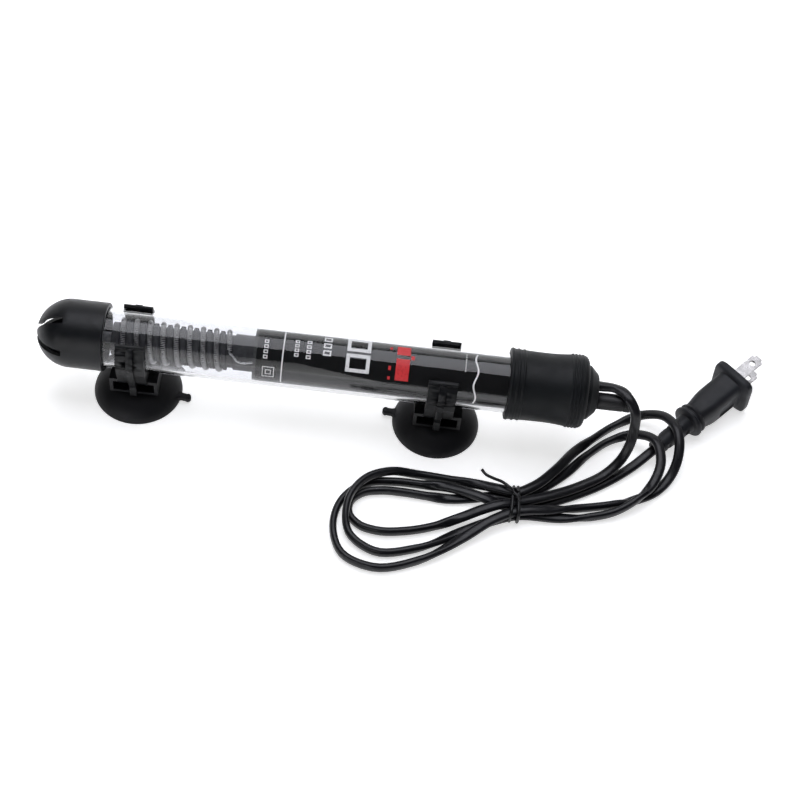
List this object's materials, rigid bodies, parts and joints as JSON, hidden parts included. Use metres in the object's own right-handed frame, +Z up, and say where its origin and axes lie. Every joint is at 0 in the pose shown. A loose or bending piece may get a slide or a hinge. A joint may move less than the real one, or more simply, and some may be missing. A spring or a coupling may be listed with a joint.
{
  "type": "submersible aquarium heater",
  "caption": "Glass tube aquarium heater with wound element, slotted guard, rubber boot with temperature knob, clips with suction cups, and a coiled mains cord with plug.",
  "frame": {"origin": "on the surface that the suction cups rest on, under the middle of the heater's length, the free cord and its plug left out", "axes": "+X along the glass tube towards the knob and cord, the guard at -X; +Z up from the surface that the cups rest on"},
  "size_m": [0.3469, 0.1359, 0.0553],
  "materials": {
    "guard_plastic": "satin",
    "tube_glass": "clear polished",
    "ceramic_pad": "matte",
    "former_ceramic": "matte",
    "coil_wire": "satin",
    "lead_wire": "bright",
    "mica_disc": "satin",
    "sleeve_black": "matte",
    "board_phenolic": "satin",
    "post_steel": "satin",
    "bimetal": "satin",
    "contact_silver": "bright",
    "leaf_bronze": "satin",
    "magnet_dark": "matte",
    "nut_brass": "satin",
    "spindle_steel": "satin",
    "knob_plastic": "satin",
    "seal_rubber": "matte",
    "lamp_glass": "clear",
    "resistor_body": "gloss",
    "pin_tin": "bright",
    "wire_black": "gloss",
    "wire_white": "gloss",
    "bung_rubber": "matte",
    "boot_rubber": "matte",
    "cord_pvc": "semi-gloss",
    "relief_rubber": "matte",
    "tie_plastic": "gloss",
    "plug_pvc": "satin",
    "blade_nickel": "polished",
    "clip_plastic": "satin",
    "cup_rubber": "satin"
  },
  "bodies": {
    "heater": {"glass_tube": "tube_glass", "base_pad": "ceramic_pad", "ceramic_former": "former_ceramic", "heating_coil": "coil_wire", "coil_leads": "lead_wire", "heat_shield": "mica_disc", "inner_sleeve": "sleeve_black", "thermostat_board": "board_phenolic", "strip_post": "post_steel", "contact_leaf": "leaf_bronze", "fixed_contact": "contact_silver", "snap_magnet": "magnet_dark", "adjuster_nut": "nut_brass", "spindle_seal": "seal_rubber", "indicator_lamp": "lamp_glass", "lamp_resistor": "resistor_body", "terminal_pins": "pin_tin", "live_wire": "wire_black", "neutral_wire": "wire_white", "tube_bung": "bung_rubber", "bung_rings": "seal_rubber", "rubber_boot": "boot_rubber", "cord_tail": "cord_pvc", "strain_relief": "relief_rubber", "power_cord": "cord_pvc", "cord_tie": "tie_plastic", "plug_body": "plug_pvc", "plug_blades": "blade_nickel"},
    "guard": {"guard_cap": "guard_plastic"},
    "clip_1": {"clip_1": "clip_plastic"},
    "clip_2": {"clip_2": "clip_plastic"},
    "cup_1": {"cup_1": "cup_rubber"},
    "cup_2": {"cup_2": "cup_rubber"},
    "knob": {"control_spindle": "spindle_steel", "control_knob": "knob_plastic"},
    "bimetal": {"bimetal_strip": "bimetal", "moving_contact": "contact_silver"}
  },
  "joints": [
    {"name": "guard_pull", "type": "slide", "parent": "heater", "child": "guard", "axis": [-1, 0, 0], "range_m": [0, 0.03]},
    {"name": "clip_1_slide", "type": "slide", "parent": "heater", "child": "clip_1", "axis": [1, 0, 0], "range_m": [-0.005, 0.04]},
    {"name": "clip_2_slide", "type": "slide", "parent": "heater", "child": "clip_2", "axis": [1, 0, 0], "range_m": [-0.04, 0.018]},
    {"name": "cup_1_swivel", "type": "hinge", "parent": "clip_1", "child": "cup_1", "pos_m": [-0.094, 0, 0.006], "axis": [0, 0, 1], "continuous": true},
    {"name": "cup_2_swivel", "type": "hinge", "parent": "clip_2", "child": "cup_2", "pos_m": [0.05, 0, 0.006], "axis": [0, 0, 1], "continuous": true},
    {"name": "knob_turn", "type": "hinge", "parent": "heater", "child": "knob", "pos_m": [0.13, -0.0023, 0.0357], "axis": [1, 0, 0], "range_deg": [-150, 150]},
    {"name": "strip_flex", "type": "hinge", "parent": "heater", "child": "bimetal", "pos_m": [0.0212, 0, 0.0399], "axis": [0, -1, 0], "range_deg": [0, 3], "stiffness_Nm_per_rad": 0.02}
  ]
}
